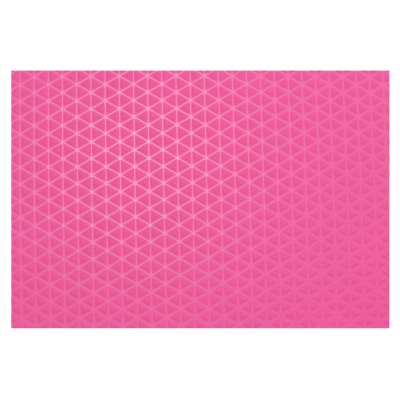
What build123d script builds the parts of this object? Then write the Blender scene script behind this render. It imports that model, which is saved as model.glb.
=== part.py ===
from build123d import *

import os
from math import atan, ceil, cos, degrees, radians, sin, sqrt

# A laminated scoring board for card and paper. It lies flat: X is its width, Y its depth and
# Z points up out of the working surface. The origin is the middle of the plane that the four
# feet stand on. All sizes are in millimetres.

# Outline of every layer
board_width = 305.0
board_depth = 208.0
corner_radius = 0.6

# Layers, from the ground up
foot_height = 1.6
foot_adhesive_thickness = 0.15
backing_thickness = 0.6
film_thickness = 0.1
core_thickness = 2.5
foam_thickness = 1.8
skin_web = 0.6
skin_relief = 0.6

# The pressed lattice: score grooves in three directions, one of them front to back. They meet
# in sixes and leave triangular cells, half of them pointing to +X and half to -X.
cell_width = 11.52
cell_side = 13.45
groove_floor = 0.6
flank_run = 1.4

# How the lattice lies on the board: its turn in degrees, its lean, where a crossing near the
# middle is, and how much the film is drawn in per millimetre and per square millimetre.
lattice_turn = 0.45
lattice_lean = -0.0143
lattice_x = -6.19
lattice_y = -0.04
draw_x = 8.8e-5
draw_y = 9.3e-5
draw_radial = 4.5e-7

# The feet
foot_diameter = 12.0
foot_draft = 12.0
foot_edge_radius = 0.4
foot_inset = 18.0
foot_adhesive_diameter = 10.5

# Heights of the joints between the layers
foot_adhesive_top = foot_height + foot_adhesive_thickness
backing_top = foot_adhesive_top + backing_thickness
backing_adhesive_top = backing_top + film_thickness
core_top = backing_adhesive_top + core_thickness
foam_adhesive_top = core_top + film_thickness
foam_top = foam_adhesive_top + foam_thickness
skin_adhesive_top = foam_top + film_thickness
groove_height = skin_adhesive_top + skin_web

foot_x = board_width / 2 - foot_inset
foot_y = board_depth / 2 - foot_inset


def on_board(column, row):
    """Board position of a place in the lattice, given in columns and in cell sides."""
    across = column * cell_width + row * cell_side * lattice_lean
    along = row * cell_side
    turn = radians(lattice_turn)
    x = across * cos(turn) - along * sin(turn) + lattice_x
    y = across * sin(turn) + along * cos(turn) + lattice_y
    drawn = 1 - draw_x * x - draw_y * y - draw_radial * (x**2 + y**2)
    return Vector(x * drawn, y * drawn)


def cell_plans():
    """Corners of the cells that touch the board, each cell inset from the grooves around it."""
    columns = ceil(board_width / 2 / cell_width) + 2
    rows = ceil(board_depth / 2 / cell_side) + 2
    inset = 1 - groove_floor / 2 / (cell_side / sqrt(12))
    for column in range(-columns, columns + 1):
        for row in range(-rows, rows + 1):
            # Crossings in odd columns lie half a side from those in even ones
            base = row + 0.5 * (column % 2)
            for tip in (column - 1, column + 1):
                corners = [on_board(column, base), on_board(tip, base + 0.5), on_board(column, base + 1)]
                middle = (corners[0] + corners[1] + corners[2]) / 3
                plan = [middle + (corner - middle) * inset for corner in corners]
                over_x = min(abs(corner.X) for corner in plan) < board_width / 2
                over_y = min(abs(corner.Y) for corner in plan) < board_depth / 2
                if over_x and over_y:
                    yield plan


def make_foot(x, y):
    """A rubber disc that narrows towards the ground and has a rounded lower edge."""
    with BuildPart() as foot:
        with BuildSketch(Plane(origin=(x, y, foot_height), z_dir=(0, 0, -1))):
            Circle(foot_diameter / 2)
        extrude(amount=foot_height, taper=foot_draft)
        fillet(foot.edges().sort_by(Axis.Z)[0], radius=foot_edge_radius)
    return foot.part


# The six flat layers share one outline
with BuildSketch() as outline:
    RectangleRounded(board_width, board_depth, corner_radius)

with BuildPart(Plane.XY.offset(foot_adhesive_top)) as backing_sheet:
    add(outline.sketch)
    extrude(amount=backing_thickness)

with BuildPart(Plane.XY.offset(backing_top)) as backing_adhesive:
    add(outline.sketch)
    extrude(amount=film_thickness)

with BuildPart(Plane.XY.offset(backing_adhesive_top)) as core_board:
    add(outline.sketch)
    extrude(amount=core_thickness)

with BuildPart(Plane.XY.offset(core_top)) as foam_adhesive:
    add(outline.sketch)
    extrude(amount=film_thickness)

with BuildPart(Plane.XY.offset(foam_adhesive_top)) as cushion_foam:
    add(outline.sketch)
    extrude(amount=foam_thickness)

with BuildPart(Plane.XY.offset(foam_top)) as skin_adhesive:
    add(outline.sketch)
    extrude(amount=film_thickness)

# The skin is a web with a tapered cell pressed up in each triangle of the lattice. The cells
# run past the edges, and the board's outline then cuts them off with the web.
flank_draft = degrees(atan(flank_run / skin_relief))

with BuildPart() as scored_skin:
    with BuildSketch(Plane.XY.offset(groove_height)):
        for plan in cell_plans():
            Polygon(*plan, align=None)
    extrude(amount=skin_relief, taper=flank_draft)
    with BuildSketch(Plane.XY.offset(skin_adhesive_top)):
        Rectangle(board_width + 4 * cell_side, board_depth + 4 * cell_side)
    extrude(amount=skin_web)
    with BuildSketch(Plane.XY.offset(skin_adhesive_top)):
        add(outline.sketch)
    extrude(amount=skin_web + skin_relief, mode=Mode.INTERSECT)

foot_front_left = make_foot(-foot_x, -foot_y)
foot_front_right = make_foot(foot_x, -foot_y)
foot_rear_left = make_foot(-foot_x, foot_y)
foot_rear_right = make_foot(foot_x, foot_y)

with BuildPart() as foot_adhesive_discs:
    with BuildSketch(Plane.XY.offset(foot_height)):
        with GridLocations(2 * foot_x, 2 * foot_y, 2, 2):
            Circle(foot_adhesive_diameter / 2)
    extrude(amount=foot_adhesive_thickness)

pieces = {
    "scored_skin": scored_skin.part,
    "skin_adhesive": skin_adhesive.part,
    "cushion_foam": cushion_foam.part,
    "foam_adhesive": foam_adhesive.part,
    "core_board": core_board.part,
    "backing_adhesive": backing_adhesive.part,
    "backing_sheet": backing_sheet.part,
    "foot_adhesive_discs": foot_adhesive_discs.part,
    "foot_front_left": foot_front_left,
    "foot_front_right": foot_front_right,
    "foot_rear_left": foot_rear_left,
    "foot_rear_right": foot_rear_right,
}

os.makedirs("parts", exist_ok=True)
for name, piece in pieces.items():
    piece.label = name
    export_step(piece, f"parts/{name}.step")
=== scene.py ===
import math

import bmesh
import bpy
import numpy as np
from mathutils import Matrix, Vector, noise


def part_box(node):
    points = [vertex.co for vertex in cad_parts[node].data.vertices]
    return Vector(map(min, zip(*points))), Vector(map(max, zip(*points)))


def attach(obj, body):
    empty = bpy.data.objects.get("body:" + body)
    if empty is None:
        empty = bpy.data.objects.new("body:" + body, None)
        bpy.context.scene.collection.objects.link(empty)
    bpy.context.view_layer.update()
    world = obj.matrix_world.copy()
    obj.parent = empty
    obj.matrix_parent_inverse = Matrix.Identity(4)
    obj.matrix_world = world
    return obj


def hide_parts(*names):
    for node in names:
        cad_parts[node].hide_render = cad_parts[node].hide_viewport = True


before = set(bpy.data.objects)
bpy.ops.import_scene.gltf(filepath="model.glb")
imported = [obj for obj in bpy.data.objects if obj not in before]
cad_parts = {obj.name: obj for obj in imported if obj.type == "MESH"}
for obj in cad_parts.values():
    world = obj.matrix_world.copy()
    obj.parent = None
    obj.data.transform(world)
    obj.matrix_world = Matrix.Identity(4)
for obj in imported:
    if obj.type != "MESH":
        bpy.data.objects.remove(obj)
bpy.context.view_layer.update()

# A laminated scoring board, lying flat with its working surface up. Everything is in metres, in the
# frame's own axes: X is the board's width, Y its depth, and the feet stand on Z = 0.

MM = 0.001
skin_low, skin_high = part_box("scored_skin")
half_width = skin_high.x
half_depth = skin_high.y

# The pressed lattice, as in the CAD skin: spacing of the front-to-back grooves, distance between
# crossings along one, and how the film was turned, sheared and drawn when it was laminated.
CELL_WIDTH = 11.52 * MM
CELL_SIDE = 13.45 * MM
LATTICE_TURN = math.radians(0.45)
LATTICE_SHEAR = -0.0143
LATTICE_X = -6.19 * MM
LATTICE_Y = -0.04 * MM
DRAW_X = 0.088
DRAW_Y = 0.093
DRAW_RADIAL = 0.45

# Relief of the skin, across a groove: a glossy pressed line, a shelf beside it, then the soft
# flank of the cell up to its flat top. The crossings stand a little proud of the grooves.
FLANK_HEIGHT = 0.6 * MM
FLANK_MIDDLE = 1.5 * MM
FLANK_WIDTH = 0.3 * MM
FLANK_BULGE = 0.8 * MM
UPRIGHT_GAIN = 0.2 * MM
CORNER_ROUNDING = 0.3 * MM
LINE_DEPTH_SLANTED = 0.0396 * MM
LINE_DEPTH_UPRIGHT = 0.0405 * MM
LINE_SPREAD = 0.35 * MM
CROSSING_RISE = 0.0442 * MM
CROSSING_SPREAD = 1.6 * MM

# How far the gloss of the hot rule reaches from a groove or a crossing. The gain is cut off at full
# gloss, which makes a glossy spot of each crossing.
GLOSS_SLANTED = 0.45 * MM
GLOSS_UPRIGHT = 0.35 * MM
GLOSS_CROSSING = 1.3 * MM
CROSSING_GLOSS_GAIN = 1.6

# The skin's rim, rolled down by the blade, with mesh lines across the roll at these places, in roll
# widths from the edge
ROLL_WIDTH = 0.5 * MM
ROLL_DROP = 0.05 * MM
ROLL_LINES = (0.0, 0.25, 0.5, 1.0, 1.6)

# The skin's mesh: the steps along a cell's side, how much they crowd towards the cell's edges, and
# into how many parts a column or side is split when the shared points of two cells are matched
CELL_STEPS = 22
EDGE_CROWDING = 1.4
WELD_PARTS = 20000

# Lengths in metres, and parts of a direction, that are smaller than this count as none
NEGLIGIBLE = 1e-6

# The board's corners, as in the CAD outline. A spacing longer than its sides gives the corners only.
CORNER_RADIUS = 0.6 * MM
CORNER_STEPS = 4
CORNERS_ONLY = 1.0

# Cut edges of the layers under the skin: the relief of each, the steps of its mesh along the edge
# and the rows of its mesh up the edge
FOAM_CELL = 0.55 * MM
FOAM_DRAW = 0.22 * MM
FOAM_PIT = 0.14 * MM
FOAM_PIT_REACH = 0.6
FOAM_STEP = 0.25 * MM
FOAM_ROWS = 9
CORE_FIBRE = 1.6 * MM
CORE_PLY = 0.22 * MM
CORE_ROUGH = 0.03 * MM
CORE_CRUSH = 0.12 * MM
CORE_STEP = 0.5 * MM
CORE_ROWS = 10
BACKING_ROLL = 0.2 * MM
BACKING_STEP = 1.0 * MM
BACKING_ROWS = 8

# Camera and lights
SENSOR_WIDTH = 36.0
CAMERA_X = -0.3 * MM
CAMERA_Y = -0.49 * MM
CAMERA_HEIGHT = 0.8
CAMERA_NEAR = 0.05
VIEW_WIDTH = 0.3220
KEY_PLACE = (-0.127, 0.118, 1.308)
KEY_SIZE = 0.05
KEY_POWER = 6.3
FILL_PLACE = (0.505, 0.494, 0.827)
FILL_SIZE = 0.8
FILL_POWER = 3.75
SKY_STRENGTH = 0.475

# The pink vinyl
VINYL_DARK = (0.882, 0.0656, 0.266)
VINYL_LIGHT = (0.918, 0.0711, 0.283)
VINYL_PRESSED = (0.928, 0.0705, 0.283)
# Painted shade: a darker pink on the cut rim and walls, standing in for the darkening along the board's
# edge
VINYL_CUT_SHADE = (0.47, 0.045, 0.165)
ROUGH_CELL = 0.682
ROUGH_PRESSED = 0.314
VINYL_IOR = 1.53

# Colours of the layers under the skin and of the feet
# The foam is a darker grey at the bottom of each cell's bumped hollow and lighter at its rim
FOAM_IN_HOLLOW = (0.80, 0.785, 0.76)
FOAM_ON_RIM = (0.90, 0.89, 0.87)
FOAM_AGED = (0.80, 0.76, 0.68)
PULP_DARK = (0.235, 0.20, 0.16)
PULP_LIGHT = (0.37, 0.325, 0.265)
FLECK_DARK = (0.10, 0.09, 0.08)
FLECK_LIGHT = (0.62, 0.58, 0.50)
# A darker grey for the hollows between the backing's pebbles
BACKING_HOLLOW_GREY = (0.52, 0.50, 0.47)
BACKING_DARK = (0.735, 0.72, 0.70)
BACKING_LIGHT = (0.80, 0.79, 0.77)
FILM_THICK = (0.68, 0.63, 0.50)
FILM_THIN = (0.78, 0.74, 0.62)
FOOT_FILM_THICK = (0.55, 0.55, 0.52)
FOOT_FILM_THIN = (0.66, 0.66, 0.62)
RUBBER_CLEAN = (0.030, 0.030, 0.032)
RUBBER_BLOOM = (0.058, 0.057, 0.056)

# Film response: straight up to the knee, then flatter, so that highlights keep their colour
TONE_KNEE = 0.6
TONE_SLOPE = 0.602
TONE_LIMIT = 2.6

# The studio's floor and wall, and the paper's glow, which fades between two distances
PAPER_DARK = (0.29, 0.29, 0.29)
PAPER_LIGHT = (0.31, 0.31, 0.31)
GLOW_NEAR = 0.35
GLOW_FAR = 1.6
GLOW_UNDER_BOARD = 1.15
GLOW_AT_WALL = 0.4
FLOOR_GAP = 0.05 * MM
FLOOR_RADIUS = 2.2
SWEEP_RADIUS = 0.8
SWEEP_STEPS = 10
WALL_HEIGHT = 2.4
WALL_SIDES = 48

# Moulded feet. The dish in the ground face is at full depth from a third of the way in.
FOOT_DRAFT = math.radians(12)
FOOT_LIP = 0.15 * MM
FOOT_ROLL = 0.4 * MM
FOOT_DISH_RADIUS = 4.4 * MM
FOOT_DISH = 0.18 * MM
FOOT_NUB_RADIUS = 0.35 * MM
FOOT_NUB_HEIGHT = 0.1 * MM
FOOT_DISH_EASE = 3.0
FOOT_ARC_STEPS = 6
FOOT_DISH_STEPS = 24
FOOT_SIDES = 72


# ---------------------------------------------------------------- stage, light and camera


def link(obj):
    bpy.context.scene.collection.objects.link(obj)
    return obj


def make_camera():
    """Straight above the board, with the board nearly filling the width of the view."""
    data = bpy.data.cameras.new("camera")
    data.sensor_width = SENSOR_WIDTH
    data.lens = data.sensor_width * CAMERA_HEIGHT / VIEW_WIDTH
    data.clip_start = CAMERA_NEAR
    camera = link(bpy.data.objects.new("camera", data))
    camera.location = (CAMERA_X, CAMERA_Y, skin_high.z + CAMERA_HEIGHT)
    bpy.context.scene.camera = camera


def make_area_light(name, location, size, power):
    """A round soft light that faces the middle of the board."""
    data = bpy.data.lights.new(name, "AREA")
    data.shape = "DISK"
    data.size = size
    data.energy = power
    light = link(bpy.data.objects.new(name, data))
    light.location = location
    light.rotation_euler = (-light.location).to_track_quat("-Z", "Y").to_euler()


def make_backdrop():
    """A white floor that curves up into a low round wall, so that no horizon shows."""
    rings = [(FLOOR_RADIUS, 0.0)]
    for step in range(1, SWEEP_STEPS + 1):
        angle = math.pi / 2 * step / SWEEP_STEPS
        out = FLOOR_RADIUS + SWEEP_RADIUS * math.sin(angle)
        rings.append((out, SWEEP_RADIUS * (1 - math.cos(angle))))
    rings.append((FLOOR_RADIUS + SWEEP_RADIUS, WALL_HEIGHT))
    bm = bmesh.new()
    rows = []
    for out, height in rings:
        row = []
        for side in range(WALL_SIDES):
            angle = math.tau * side / WALL_SIDES
            row.append(bm.verts.new((out * math.cos(angle), out * math.sin(angle), height)))
        rows.append(row)
    bm.faces.new(rows[0])
    for inner, outer in zip(rows, rows[1:]):
        for side in range(WALL_SIDES):
            following = (side + 1) % WALL_SIDES
            bm.faces.new((inner[side], outer[side], outer[following], inner[following]))
    for face in bm.faces:
        face.smooth = len(face.verts) == 4
    mesh = bpy.data.meshes.new("backdrop")
    bm.to_mesh(mesh)
    bm.free()
    backdrop = link(bpy.data.objects.new("backdrop", mesh))
    backdrop.location.z = -FLOOR_GAP
    mesh.materials.append(make_backdrop_material())


def make_studio():
    world = bpy.data.worlds.new("studio")
    world.use_nodes = True
    background = world.node_tree.nodes["Background"]
    background.inputs["Color"].default_value = (1, 1, 1, 1)
    background.inputs["Strength"].default_value = SKY_STRENGTH
    bpy.context.scene.world = world
    view = bpy.context.scene.view_settings
    view.view_transform = "Standard"
    view.use_curve_mapping = True
    tones = view.curve_mapping
    tones.clip_max_x = TONE_LIMIT
    tones.clip_max_y = TONE_LIMIT
    # The curve of all three channels together comes after their own
    combined = tones.curves[3]
    combined.points.new(TONE_LIMIT, TONE_KNEE + (TONE_LIMIT - TONE_KNEE) * TONE_SLOPE)
    combined.points[1].location = (TONE_KNEE, TONE_KNEE)
    for point in combined.points:
        point.handle_type = "VECTOR"
    tones.update()
    make_area_light("key", KEY_PLACE, KEY_SIZE, KEY_POWER)
    make_area_light("top_fill", FILL_PLACE, FILL_SIZE, FILL_POWER)


# ---------------------------------------------------------------- materials


class Nodes:
    """A material's node tree, with one short call per node."""

    def __init__(self, name):
        self.material = bpy.data.materials.new(name)
        self.material.use_nodes = True
        self.tree = self.material.node_tree
        self.shader = self.tree.nodes["Principled BSDF"]

    def add(self, kind, **settings):
        node = self.tree.nodes.new(kind)
        for key, value in settings.items():
            setattr(node, key, value)
        return node

    def join(self, source, target):
        self.tree.links.new(source, target)

    def position(self):
        return self.add("ShaderNodeTexCoord").outputs["Object"]

    def stretched(self, x, y, z):
        """Object position with each axis scaled, for a grain that runs one way."""
        node = self.add("ShaderNodeMapping")
        self.join(self.position(), node.inputs["Vector"])
        node.inputs["Scale"].default_value = (x, y, z)
        return node.outputs["Vector"]

    def noise(self, scale, detail=2.0, roughness=0.5, vector=None):
        node = self.add("ShaderNodeTexNoise")
        self.join(vector or self.position(), node.inputs["Vector"])
        node.inputs["Scale"].default_value = scale
        node.inputs["Detail"].default_value = detail
        node.inputs["Roughness"].default_value = roughness
        return node.outputs["Fac"]

    def cells(self, scale, feature="F1"):
        """Distance to the nearest point, or to the nearest border, of a field of random cells."""
        node = self.add("ShaderNodeTexVoronoi", feature=feature)
        self.join(self.position(), node.inputs["Vector"])
        node.inputs["Scale"].default_value = scale
        return node.outputs["Distance"]

    def attribute(self, name):
        return self.add("ShaderNodeAttribute", attribute_name=name).outputs["Fac"]

    def remap(self, value, low_in, high_in, low_out, high_out):
        node = self.add("ShaderNodeMapRange")
        self.join(value, node.inputs["Value"])
        node.inputs["From Min"].default_value = low_in
        node.inputs["From Max"].default_value = high_in
        node.inputs["To Min"].default_value = low_out
        node.inputs["To Max"].default_value = high_out
        return node.outputs["Result"]

    def mix(self, factor, first, second):
        node = self.add("ShaderNodeMix", data_type="RGBA")
        self.join(factor, node.inputs[0])
        for value, socket in ((first, node.inputs[6]), (second, node.inputs[7])):
            if isinstance(value, tuple):
                socket.default_value = (*value, 1)
            else:
                self.join(value, socket)
        return node.outputs[2]

    def bump(self, height, strength, distance):
        node = self.add("ShaderNodeBump")
        node.inputs["Strength"].default_value = strength
        node.inputs["Distance"].default_value = distance
        self.join(height, node.inputs["Height"])
        return node.outputs["Normal"]


def make_skin_material():
    """Satin pink vinyl, glossier and cleaner where the hot rule pressed the grooves, with painted shade
    darkening its cut rim and walls.
    """
    nodes = Nodes("pink_vinyl")
    pressed = nodes.attribute("groove")
    cut = nodes.attribute("cut_edge")
    tone = nodes.remap(nodes.noise(scale=35.0, detail=3.0), 0.3, 0.7, 0.0, 1.0)
    face = nodes.mix(pressed, nodes.mix(tone, VINYL_DARK, VINYL_LIGHT), VINYL_PRESSED)
    # The cut_edge mask paints shade on the skin's rim and cut walls
    nodes.join(nodes.mix(cut, face, VINYL_CUT_SHADE), nodes.shader.inputs["Base Color"])
    gloss = nodes.remap(pressed, 0.0, 1.0, ROUGH_CELL, ROUGH_PRESSED)
    nodes.join(gloss, nodes.shader.inputs["Roughness"])
    grain = nodes.noise(scale=2600.0, detail=2.0)
    nodes.join(nodes.bump(grain, strength=0.25, distance=0.05 * MM), nodes.shader.inputs["Normal"])
    nodes.shader.inputs["IOR"].default_value = VINYL_IOR
    return nodes.material


def make_backdrop_material():
    """White paper, lit through under the board so that it stays white there, and plain further out."""
    nodes = Nodes("backdrop_paper")
    away = nodes.add("ShaderNodeVectorMath", operation="LENGTH")
    nodes.join(nodes.position(), away.inputs[0])
    glow = nodes.remap(away.outputs["Value"], GLOW_NEAR, GLOW_FAR, GLOW_UNDER_BOARD, GLOW_AT_WALL)
    nodes.join(glow, nodes.shader.inputs["Emission Strength"])
    tooth = nodes.noise(scale=900.0, detail=3.0)
    nodes.join(nodes.mix(tooth, PAPER_DARK, PAPER_LIGHT), nodes.shader.inputs["Base Color"])
    nodes.shader.inputs["Emission Color"].default_value = (1, 1, 1, 1)
    nodes.shader.inputs["Roughness"].default_value = 0.9
    nodes.shader.inputs["Specular IOR Level"].default_value = 0.1
    nodes.material.cycles.emission_sampling = "NONE"
    return nodes.material


def make_foam_material():
    """White closed-cell foam: small cells, darker towards the bottom of each bumped hollow, a faint
    yellowing and no shine.
    """
    nodes = Nodes("white_foam")
    cell = nodes.remap(nodes.cells(scale=1900.0), 0.0, 0.7, 0.0, 1.0)
    # Each cell runs from the darker grey in its bumped hollow to the lighter grey at its rim
    clean = nodes.mix(cell, FOAM_IN_HOLLOW, FOAM_ON_RIM)
    aged = nodes.remap(nodes.noise(scale=60.0, detail=3.0), 0.45, 0.75, 0.0, 0.35)
    nodes.join(nodes.mix(aged, clean, FOAM_AGED), nodes.shader.inputs["Base Color"])
    nodes.join(nodes.bump(cell, strength=0.6, distance=0.2 * MM), nodes.shader.inputs["Normal"])
    nodes.shader.inputs["Roughness"].default_value = 0.95
    nodes.shader.inputs["Specular IOR Level"].default_value = 0.2
    return nodes.material


def make_greyboard_material():
    """Recycled pulp board: plies along the edge, short fibres and dark and light specks."""
    nodes = Nodes("greyboard")
    along_edge = nodes.stretched(500.0, 500.0, 5000.0)
    plies = nodes.noise(scale=1.0, detail=4.0, roughness=0.6, vector=along_edge)
    fibres = nodes.noise(scale=1800.0, detail=4.0, roughness=0.65)
    body = nodes.mix(nodes.remap(plies, 0.35, 0.65, 0.0, 1.0), PULP_DARK, PULP_LIGHT)
    speck = nodes.remap(fibres, 0.62, 0.72, 0.0, 0.8)
    flecked = nodes.mix(speck, body, FLECK_LIGHT)
    dark = nodes.remap(nodes.noise(scale=1300.0, detail=2.0), 0.66, 0.74, 0.0, 0.7)
    nodes.join(nodes.mix(dark, flecked, FLECK_DARK), nodes.shader.inputs["Base Color"])
    nodes.join(nodes.bump(fibres, strength=0.5, distance=0.15 * MM), nodes.shader.inputs["Normal"])
    nodes.shader.inputs["Roughness"].default_value = 0.9
    nodes.shader.inputs["Specular IOR Level"].default_value = 0.25
    return nodes.material


def make_backing_material():
    """Off-white backing film with a pebbled grain, darker grey in the hollows between its pebbles."""
    nodes = Nodes("pebbled_backing")
    pebble = nodes.remap(nodes.cells(scale=850.0, feature="DISTANCE_TO_EDGE"), 0.0, 0.3, 0.0, 1.0)
    tone = nodes.remap(nodes.noise(scale=22.0, detail=4.0), 0.3, 0.7, 0.0, 1.0)
    clean = nodes.mix(tone, BACKING_DARK, BACKING_LIGHT)
    # The hollows between the pebbles are mixed towards a darker grey
    hollow = nodes.remap(pebble, 0.0, 0.5, 0.35, 0.0)
    nodes.join(nodes.mix(hollow, clean, BACKING_HOLLOW_GREY), nodes.shader.inputs["Base Color"])
    nodes.join(nodes.remap(pebble, 0.0, 1.0, 0.75, 0.5), nodes.shader.inputs["Roughness"])
    nodes.join(nodes.bump(pebble, strength=0.45, distance=0.12 * MM), nodes.shader.inputs["Normal"])
    return nodes.material


def make_film_material(name, thick, thin):
    """Adhesive film: yellowish, uneven along its cut edge, with a wet sheen."""
    nodes = Nodes(name)
    uneven = nodes.noise(scale=700.0, detail=3.0, roughness=0.6)
    nodes.join(nodes.mix(uneven, thick, thin), nodes.shader.inputs["Base Color"])
    nodes.join(nodes.remap(uneven, 0.3, 0.7, 0.25, 0.45), nodes.shader.inputs["Roughness"])
    nodes.join(nodes.bump(uneven, strength=0.3, distance=0.1 * MM), nodes.shader.inputs["Normal"])
    return nodes.material


def make_rubber_material():
    """Dark moulded rubber with a fine matt grain and a bloom of dust."""
    nodes = Nodes("foot_rubber")
    bloom = nodes.remap(nodes.noise(scale=380.0, detail=4.0, roughness=0.6), 0.4, 0.7, 0.0, 1.0)
    nodes.join(nodes.mix(bloom, RUBBER_CLEAN, RUBBER_BLOOM), nodes.shader.inputs["Base Color"])
    nodes.join(nodes.remap(bloom, 0.0, 1.0, 0.5, 0.72), nodes.shader.inputs["Roughness"])
    grain = nodes.noise(scale=5200.0, detail=2.0)
    nodes.join(nodes.bump(grain, strength=0.3, distance=0.04 * MM), nodes.shader.inputs["Normal"])
    return nodes.material


# ---------------------------------------------------------------- the embossed skin


def lattice_to_board(column, row):
    """Board position of a place in the lattice, given in columns and cell sides."""
    u = column * CELL_WIDTH + row * CELL_SIDE * LATTICE_SHEAR
    v = row * CELL_SIDE
    x = u * math.cos(LATTICE_TURN) - v * math.sin(LATTICE_TURN) + LATTICE_X
    y = u * math.sin(LATTICE_TURN) + v * math.cos(LATTICE_TURN) + LATTICE_Y
    drawn = 1 - DRAW_X * x - DRAW_Y * y - DRAW_RADIAL * (x * x + y * y)
    return x * drawn, y * drawn


def bell(distance, spread):
    return np.exp(-0.5 * (distance / spread) ** 2)


def cell_grid(steps):
    """Barycentric places of a cell's points, crowded towards its edges, and its triangles."""
    places = []
    index = {}
    for i in range(steps + 1):
        for j in range(steps + 1 - i):
            share = np.array([i, j, steps - i - j]) / steps
            share = share**EDGE_CROWDING
            index[i, j] = len(places)
            places.append(share / share.sum())
    triangles = []
    for i in range(steps):
        for j in range(steps - i):
            triangles.append((index[i, j], index[i + 1, j], index[i, j + 1]))
            if i + j < steps - 1:
                triangles.append((index[i + 1, j], index[i + 1, j + 1], index[i, j + 1]))
    return np.array(places), np.array(triangles)


def relief(places):
    """Depth below the cell tops at barycentric places of a cell, and how pressed the film is there.

    A cell's first two corners lie on a front-to-back groove, opposite its third share.
    """
    to_edges = places * CELL_WIDTH
    slanted = to_edges[:, :2].min(axis=1)
    upright = to_edges[:, 2]
    corners = np.array([(0, -CELL_SIDE / 2), (0, CELL_SIDE / 2), (CELL_WIDTH, 0)])
    flat = places @ corners
    to_corner = np.min([np.hypot(*(flat - corner).T) for corner in corners], axis=0)
    # The flank stands further from a groove halfway between its crossings than at them
    into_cell = to_edges.copy()
    for edge in range(3):
        left = places[:, (edge + 1) % 3]
        right = places[:, (edge + 2) % 3]
        into_cell[:, edge] -= FLANK_BULGE * 4 * left * right / np.maximum(left + right, 1e-9) ** 2
    into_cell[:, 2] += UPRIGHT_GAIN
    rounded = -CORNER_ROUNDING * np.log(np.exp(-into_cell / CORNER_ROUNDING).sum(axis=1))
    depth = 0.5 * FLANK_HEIGHT * (1 - np.tanh((rounded - FLANK_MIDDLE) / FLANK_WIDTH))
    slanted_line = LINE_DEPTH_SLANTED * bell(slanted, LINE_SPREAD)
    upright_line = LINE_DEPTH_UPRIGHT * bell(upright, LINE_SPREAD)
    depth += slanted_line + upright_line
    depth -= CROSSING_RISE * bell(to_corner, CROSSING_SPREAD)
    crossing = np.minimum(1.0, CROSSING_GLOSS_GAIN * bell(to_corner, GLOSS_CROSSING))
    pressed = np.max([bell(slanted, GLOSS_SLANTED), bell(upright, GLOSS_UPRIGHT), crossing], axis=0)
    return depth - depth.min(), pressed


def lattice_cells():
    """The corners of every cell that may touch the board, in columns and sides."""
    columns = math.ceil(half_width / CELL_WIDTH) + 3
    rows = math.ceil(half_depth / CELL_SIDE) + 2
    for column in range(-columns, columns + 1):
        for row in range(-rows, rows + 1):
            low = row + 0.5 * (column % 2)
            for side in (-1, 1):
                cell = np.array([(column, low), (column, low + 1), (column + side, low + 0.5)])
                x, y = lattice_to_board(*cell.T)
                inside_x = x.min() < half_width and x.max() > -half_width
                inside_y = y.min() < half_depth and y.max() > -half_depth
                if inside_x and inside_y:
                    yield cell if side == 1 else cell[[1, 0, 2]]


def make_skin():
    """The embossed film: pillowed cells between pressed grooves, cut to the board's outline."""
    places, triangles = cell_grid(CELL_STEPS)
    depth, groove = relief(places)
    points = []
    faces = []
    for cell in lattice_cells():
        start = len(points) * len(places)
        spots = places @ cell
        points.append(np.column_stack([spots, depth, groove]))
        faces.append(triangles[:, ::-1] + start)
    points = np.concatenate(points)
    faces = np.concatenate(faces)
    keys = np.round(points[:, :2] * WELD_PARTS).astype(np.int64)
    _, first, shared = np.unique(keys, axis=0, return_index=True, return_inverse=True)
    points = points[first]
    faces = shared.reshape(-1)[faces]
    x, y = lattice_to_board(points[:, 0], points[:, 1])
    z = skin_high.z - points[:, 2]

    mesh = bpy.data.meshes.new("embossed_skin")
    mesh.from_pydata(np.column_stack([x, y, z]).tolist(), [], faces.tolist())
    for name, values in (("groove", points[:, 3]), ("cut_edge", np.zeros(len(points)))):
        layer = mesh.attributes.new(name, "FLOAT", "POINT")
        layer.data.foreach_set("value", values.astype(np.float32))
    cut_to_outline(mesh)
    mesh.materials.append(make_skin_material())
    return link(bpy.data.objects.new("embossed_skin", mesh))


def cut_to_outline(mesh):
    """Trims the sheet to the board, rolls its rim down and closes it with sides and a base."""
    bm = bmesh.new()
    bm.from_mesh(mesh)
    cut_edge = bm.verts.layers.float["cut_edge"]
    cuts = []
    sides = ((1, 0, half_width), (-1, 0, half_width), (0, 1, half_depth), (0, -1, half_depth))
    for nx, ny, reach in sides:
        for line in ROLL_LINES:
            cuts.append((nx, ny, reach - line * ROLL_WIDTH, line == 0.0))
    for x, y, nx, ny in outline(CORNERS_ONLY):
        # The sides themselves are cut already
        if min(abs(nx), abs(ny)) > NEGLIGIBLE:
            cuts.append((nx, ny, x * nx + y * ny, True))
    for nx, ny, reach, clear in cuts:
        bmesh.ops.bisect_plane(
            bm,
            geom=bm.verts[:] + bm.edges[:] + bm.faces[:],
            dist=1e-7,
            plane_co=(nx * reach, ny * reach, 0),
            plane_no=(nx, ny, 0),
            clear_outer=clear,
        )
    for vert in bm.verts:
        inset = min(half_width - abs(vert.co.x), half_depth - abs(vert.co.y))
        fall = max(0.0, 1 - inset / ROLL_WIDTH)
        vert.co.z -= ROLL_DROP * fall * fall
        # Points on the outer rim carry the mask of the painted edge shade
        vert[cut_edge] = float(inset < NEGLIGIBLE)
    bmesh.ops.recalc_face_normals(bm, faces=bm.faces[:])
    for face in bm.faces:
        face.smooth = True
    lit_faces = set(bm.faces)
    rim = [edge for edge in bm.edges if edge.is_boundary]
    made = bmesh.ops.extrude_edge_only(bm, edges=rim)["geom"]
    for item in made:
        if isinstance(item, bmesh.types.BMVert):
            item.co.z = skin_low.z
            # The cut walls and base carry the painted edge shade too
            item[cut_edge] = 1.0
    base_rim = [edge for edge in bm.edges if edge.is_boundary]
    bmesh.ops.holes_fill(bm, edges=base_rim, sides=0)
    bmesh.ops.recalc_face_normals(bm, faces=bm.faces[:])
    for face in bm.faces:
        face.smooth = face in lit_faces
    bm.to_mesh(mesh)
    bm.free()


# ---------------------------------------------------------------- the layers under the skin


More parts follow.
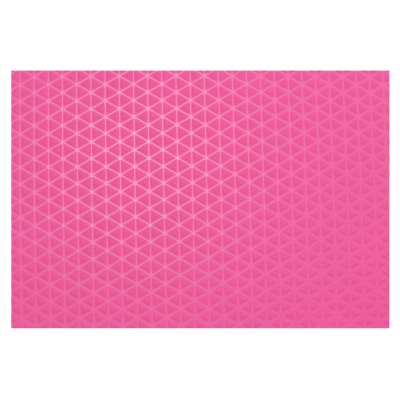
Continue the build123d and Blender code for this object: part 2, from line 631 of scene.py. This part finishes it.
def outline(spacing):
    """The board's outline: rows of a point and its outward direction, at about that spacing."""
    turns = []
    for quarter, (side_x, side_y) in enumerate(((1, 1), (-1, 1), (-1, -1), (1, -1))):
        centre = np.array([side_x * (half_width - CORNER_RADIUS), side_y * (half_depth - CORNER_RADIUS)])
        for step in range(CORNER_STEPS + 1):
            angle = math.pi / 2 * (quarter + step / CORNER_STEPS)
            normal = np.array([math.cos(angle), math.sin(angle)])
            turns.append(np.concatenate([centre + CORNER_RADIUS * normal, normal]))
    spots = []
    for start, end in zip(turns, turns[1:] + turns[:1]):
        count = max(1, round(np.linalg.norm(end[:2] - start[:2]) / spacing))
        for step in range(count):
            spots.append(start + (end - start) * step / count)
    return np.array(spots)


def make_slab(name, node, spacing, rows, inset, material):
    """A flat layer with a modelled edge. inset gives how far in the edge is at a place on it."""
    low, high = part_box(node)
    thickness = high.z - low.z
    spots = outline(spacing)
    count = len(spots)
    points = []
    for row in range(rows + 1):
        height = thickness * row / rows
        for x, y, nx, ny in spots:
            depth = inset(Vector((x, y, height)), thickness)
            points.append((x - nx * depth, y - ny * depth, low.z + height))
    faces = []
    for row in range(rows):
        for here in range(count):
            there = (here + 1) % count
            below = row * count
            above = below + count
            faces.append((below + here, below + there, above + there, above + here))
    smooth = [True] * len(faces) + [False, False]
    faces.append(tuple(range(count - 1, -1, -1)))
    faces.append(tuple(range(rows * count, (rows + 1) * count)))
    mesh = bpy.data.meshes.new(name)
    mesh.from_pydata(points, [], faces)
    mesh.polygons.foreach_set("use_smooth", smooth)
    mesh.materials.append(material)
    slab = link(bpy.data.objects.new(name, mesh))
    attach(slab, "root")
    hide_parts(node)
    return slab


def foam_inset(place, thickness):
    """The foam springs back between its two films, and the blade opened cells along it."""
    nearest = noise.voronoi(place / FOAM_CELL)[0][0]
    pit = max(0.0, 1 - (nearest / FOAM_PIT_REACH) ** 2)
    return FOAM_DRAW * math.sin(math.pi * place.z / thickness) + FOAM_PIT * pit


def core_inset(place, thickness):
    """Pressed pulp tears a little in plies, and its corners are crushed by the blade."""
    plies = noise.noise(Vector((place.x / CORE_FIBRE, place.y / CORE_FIBRE, place.z / CORE_PLY)))
    to_face = min(place.z, thickness - place.z)
    crushed = max(0.0, 1 - to_face / CORE_CRUSH) ** 2
    return CORE_ROUGH * (1 + plies) + 0.5 * CORE_CRUSH * crushed


def backing_inset(place, thickness):
    """The lower corner of the backing is rolled over."""
    below = max(0.0, BACKING_ROLL - place.z)
    return BACKING_ROLL - math.sqrt(BACKING_ROLL**2 - below**2)


def make_foot(node, material):
    """A moulded rubber disc: rounded lip, tapered wall, rolled lower edge and a dished ground face."""
    low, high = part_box(node)
    radius = (high.x - low.x) / 2
    top = high.z - low.z
    lip = radius - FOOT_LIP
    wall_foot = radius - top * math.tan(FOOT_DRAFT) - FOOT_ROLL
    profile = [(0.0, top), (0.5 * lip, top)]
    for step in range(FOOT_ARC_STEPS + 1):
        angle = math.pi / 2 * (1 - step / FOOT_ARC_STEPS)
        profile.append((lip + FOOT_LIP * math.cos(angle), top - FOOT_LIP + FOOT_LIP * math.sin(angle)))
    for step in range(FOOT_ARC_STEPS + 1):
        angle = -math.pi / 2 * step / FOOT_ARC_STEPS
        profile.append((wall_foot + FOOT_ROLL * math.cos(angle), FOOT_ROLL + FOOT_ROLL * math.sin(angle)))
    for step in range(FOOT_DISH_STEPS + 1):
        share = step / FOOT_DISH_STEPS
        out = FOOT_DISH_RADIUS * (1 - share)
        ease = min(1.0, FOOT_DISH_EASE * share)
        nub = FOOT_NUB_HEIGHT * bell(out, FOOT_NUB_RADIUS)
        profile.append((out, FOOT_DISH * ease * ease * (3 - 2 * ease) - nub))

    bm = bmesh.new()
    rings = []
    for out, height in profile:
        ring = []
        for step in range(FOOT_SIDES if out > 0 else 1):
            angle = math.tau * step / FOOT_SIDES
            x = (low.x + high.x) / 2 + out * math.cos(angle)
            y = (low.y + high.y) / 2 + out * math.sin(angle)
            ring.append(bm.verts.new((x, y, low.z + height)))
        rings.append(ring)
    for upper, lower in zip(rings, rings[1:]):
        for step in range(FOOT_SIDES):
            following = (step + 1) % FOOT_SIDES
            if len(upper) == 1:
                bm.faces.new((upper[0], lower[step], lower[following]))
            elif len(lower) == 1:
                bm.faces.new((upper[step], lower[0], upper[following]))
            else:
                bm.faces.new((upper[step], lower[step], lower[following], upper[following]))
    for face in bm.faces:
        face.smooth = True
    mesh = bpy.data.meshes.new(f"moulded_{node}")
    bm.to_mesh(mesh)
    bm.free()
    mesh.materials.append(material)
    foot = link(bpy.data.objects.new(f"moulded_{node}", mesh))
    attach(foot, "root")
    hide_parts(node)


def dress(node, material):
    """Gives a CAD node that stays in view its finished material."""
    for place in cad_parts[node].material_slots:
        place.material = material


make_camera()
make_backdrop()
make_studio()

skin = make_skin()
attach(skin, "root")
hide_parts("scored_skin")

foam = make_slab("cut_foam", "cushion_foam", FOAM_STEP, FOAM_ROWS, foam_inset, make_foam_material())

greyboard = make_greyboard_material()
core = make_slab("cut_greyboard", "core_board", CORE_STEP, CORE_ROWS, core_inset, greyboard)

pebbled = make_backing_material()
backing = make_slab("rolled_backing", "backing_sheet", BACKING_STEP, BACKING_ROWS, backing_inset, pebbled)

film_material = make_film_material("acrylic_film", FILM_THICK, FILM_THIN)
for film in ("skin_adhesive", "foam_adhesive", "backing_adhesive"):
    dress(film, film_material)
dress("foot_adhesive_discs", make_film_material("foot_film", FOOT_FILM_THICK, FOOT_FILM_THIN))

rubber = make_rubber_material()
for foot_node in ("foot_front_left", "foot_front_right", "foot_rear_left", "foot_rear_right"):
    make_foot(foot_node, rubber)
